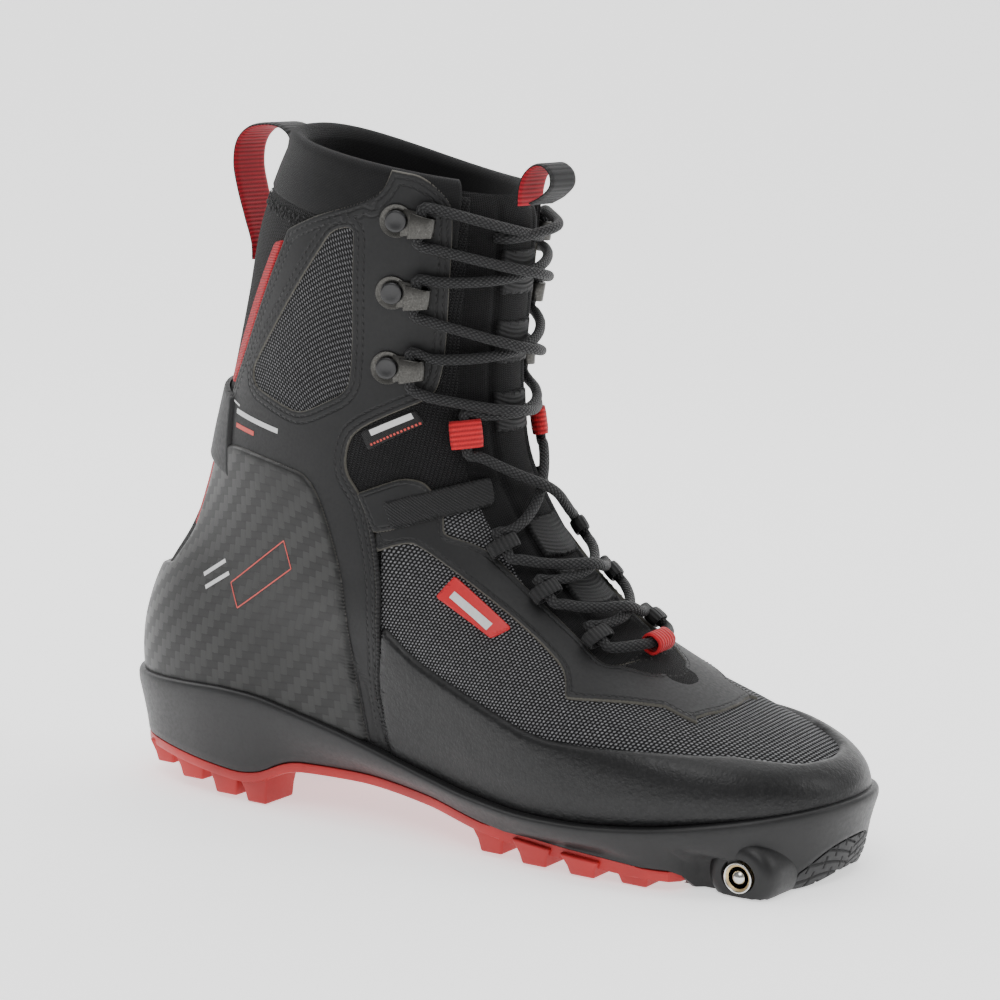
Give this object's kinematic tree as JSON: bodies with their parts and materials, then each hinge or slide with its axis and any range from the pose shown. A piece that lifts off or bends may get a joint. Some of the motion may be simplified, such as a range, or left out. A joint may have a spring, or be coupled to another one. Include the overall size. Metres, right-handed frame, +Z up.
{
  "type": "cross country boot",
  "caption": "Lace-up touring boot for the right foot: high softshell shaft, red lugged sole and a toe block with sprung side pins.",
  "frame": {"origin": "on the ground, under the middle of the sole's bounds", "axes": "+X to the toe, -Y to the outer (lateral) side of the right foot, +Z up"},
  "size_m": [0.3096, 0.1058, 0.2533],
  "materials": {
    "block_black": "moulded, matt",
    "board_brown": "pressed fibre board",
    "collar_black": "smooth stretch fabric with a zigzag seam",
    "counter_twill": "moulded carbon twill, soft sheen",
    "footbed_grey": "felt-topped foam",
    "hook_gunmetal": "satin gunmetal",
    "lace_black": "round braid",
    "lining_grey": "padded knit",
    "mesh_grey": "coarse two-tone mesh, light dashes on black",
    "midsole_black": "moulded, matt",
    "outsole_red": "moulded, matt",
    "overlay_black": "smooth coated synthetic with double stitching",
    "piping_red": "satin welded film",
    "rand_leather": "pebble-grained, semi-gloss",
    "rivet_black": "gloss black",
    "softshell_black": "knitted softshell, matt",
    "spring_steel": "plain spring steel",
    "stay_rubber": "matt",
    "steel_polished": "polished steel",
    "tongue_black": "padded softshell, perforated at the top",
    "tread_grey": "moulded, matt",
    "webbing_black": "woven tape",
    "webbing_red": "woven tape"
  },
  "bodies": {
    "boot": {"ankle_strap_lateral": "webbing_black", "ankle_strap_medial": "webbing_black", "back_panel": "softshell_black", "back_stay": "stay_rubber", "binding_block": "block_black", "collar_binding": "collar_black", "cuff_overlay_lateral": "overlay_black", "cuff_overlay_medial": "overlay_black", "eyestay_yoke": "overlay_black", "footbed": "footbed_grey", "heel_counter": "counter_twill", "heel_panel": "softshell_black", "hook_1_lateral": "hook_gunmetal", "hook_1_medial": "hook_gunmetal", "hook_2_lateral": "hook_gunmetal", "hook_2_medial": "hook_gunmetal", "hook_3_lateral": "hook_gunmetal", "hook_3_medial": "hook_gunmetal", "insole_board": "board_brown", "lace": "lace_black", "lace_loop_1_lateral": "webbing_black", "lace_loop_1_medial": "webbing_black", "lace_loop_2_lateral": "webbing_black", "lace_loop_2_medial": "webbing_black", "lace_loop_3_lateral": "webbing_black", "lace_loop_3_medial": "webbing_black", "lace_loop_red_lateral": "webbing_red", "lace_loop_red_medial": "webbing_red", "lace_tab_toe": "webbing_red", "lining": "lining_grey", "midsole": "midsole_black", "outsole": "outsole_red", "pin_bush_lateral": "steel_polished", "pin_bush_medial": "steel_polished", "pin_spring_lateral": "spring_steel", "pin_spring_medial": "spring_steel", "piping_lateral": "piping_red", "piping_medial": "piping_red", "quarter_lateral": "softshell_black", "quarter_medial": "softshell_black", "rivet_1_lateral": "rivet_black", "rivet_1_medial": "rivet_black", "rivet_2_lateral": "rivet_black", "rivet_2_medial": "rivet_black", "rivet_3_lateral": "rivet_black", "rivet_3_medial": "rivet_black", "shaft_lateral": "softshell_black", "shaft_medial": "softshell_black", "shank": "spring_steel", "toe_rand": "rand_leather", "toe_tread": "tread_grey", "tongue": "tongue_black", "vamp": "mesh_grey", "window_mesh_lateral": "mesh_grey", "window_mesh_medial": "mesh_grey"},
    "pin_lateral": {"pin_lateral": "steel_polished"},
    "pin_medial": {"pin_medial": "steel_polished"},
    "heel_loop": {"heel_loop": "webbing_black"},
    "tongue_loop": {"tongue_loop": "webbing_black"}
  },
  "joints": [
    {"name": "pin_lateral_slide", "type": "slide", "parent": "boot", "child": "pin_lateral", "axis": [0, 1, 0], "range_m": [0, 0.0022], "stiffness_N_per_m": 2000, "deforming": ["pin_spring_lateral"]},
    {"name": "pin_medial_slide", "type": "slide", "parent": "boot", "child": "pin_medial", "axis": [0, -1, 0], "range_m": [0, 0.0022], "stiffness_N_per_m": 2000, "deforming": ["pin_spring_medial"]},
    {"name": "heel_loop_swing", "type": "hinge", "parent": "boot", "child": "heel_loop", "pos_m": [-0.0968, -0.00268, 0.203], "axis": [0.4074, 0, 0.9132], "range_deg": [-12, 12], "stiffness_Nm_per_rad": 0.05},
    {"name": "tongue_loop_flop", "type": "hinge", "parent": "boot", "child": "tongue_loop", "pos_m": [0.0245, -0.00268, 0.2255], "axis": [0, 1, 0], "range_deg": [-15, 35], "stiffness_Nm_per_rad": 0.05}
  ]
}
